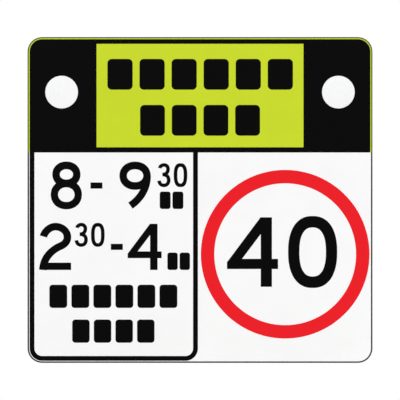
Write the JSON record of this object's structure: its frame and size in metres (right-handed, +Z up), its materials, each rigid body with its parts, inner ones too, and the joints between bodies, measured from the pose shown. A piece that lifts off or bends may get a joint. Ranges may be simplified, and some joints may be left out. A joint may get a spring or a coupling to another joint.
{
  "type": "flashing school zone sign",
  "caption": "Rectangular school zone road sign with flashing lamps, a red speed ring, back rails, a flasher box and clamps for a round post.",
  "frame": {"origin": "on the axis of the round post that the clamps hold, level with the middle of the panel", "axes": "+X to the right as a driver sees the sign, +Y from the face towards the back, +Z up along the post"},
  "size_m": [0.9, 0.1076, 0.85],
  "materials": {
    "sheet_aluminium": "satin mill finish",
    "lime_film": "fluorescent retroreflective film",
    "white_film": "retroreflective film",
    "black_film": "opaque overlay film",
    "red_film": "transparent overlay film",
    "extruded_aluminium": "mill finish extrusion",
    "rivet_aluminium": "bright",
    "galvanised_steel": "hot-dip galvanised",
    "plated_steel": "zinc plated",
    "stainless_steel": "stainless",
    "black_rubber": "matt",
    "frosted_lens": "frosted polycarbonate",
    "white_plastic": "gloss",
    "led_resin": "clear",
    "white_board": "solder mask",
    "green_board": "solder mask",
    "component_plastic": "matt",
    "black_housing": "fine texture",
    "grey_enclosure": "fine texture",
    "black_nylon": "satin"
  },
  "bodies": {
    "root": {"sign_panel": "sheet_aluminium", "lime_sheeting": "lime_film", "white_sheeting": "white_film", "header_overlay": "black_film", "timing_border": "black_film", "speed_ring": "red_film", "upper_rail": "extruded_aluminium", "lower_rail": "extruded_aluminium", "rail_rivets": "rivet_aluminium", "upper_saddle": "galvanised_steel", "lower_saddle": "galvanised_steel", "upper_strap": "galvanised_steel", "lower_strap": "galvanised_steel", "clamp_bolts": "plated_steel", "clamp_washers": "plated_steel", "clamp_nuts": "plated_steel", "left_lamp_seal": "black_rubber", "right_lamp_seal": "black_rubber", "left_lens": "frosted_lens", "right_lens": "frosted_lens", "left_reflector": "white_plastic", "right_reflector": "white_plastic", "left_leds": "led_resin", "right_leds": "led_resin", "left_led_board": "white_board", "right_led_board": "white_board", "led_board_screws": "stainless_steel", "left_lamp_housing": "black_housing", "right_lamp_housing": "black_housing", "lamp_grommets": "black_rubber", "lamp_studs": "rivet_aluminium", "lamp_washers": "stainless_steel", "lamp_nuts": "stainless_steel", "box_base": "grey_enclosure", "box_seal": "black_rubber", "box_lid": "grey_enclosure", "lid_screws": "stainless_steel", "control_board": "green_board", "board_components": "component_plastic", "board_screws": "stainless_steel", "box_grommets": "black_rubber", "gland_body": "black_nylon", "gland_locknut": "black_nylon", "gland_seal": "black_rubber", "gland_dome_nut": "black_nylon", "box_studs": "rivet_aluminium", "box_washers": "stainless_steel", "box_nuts": "stainless_steel"}
  },
  "joints": []
}
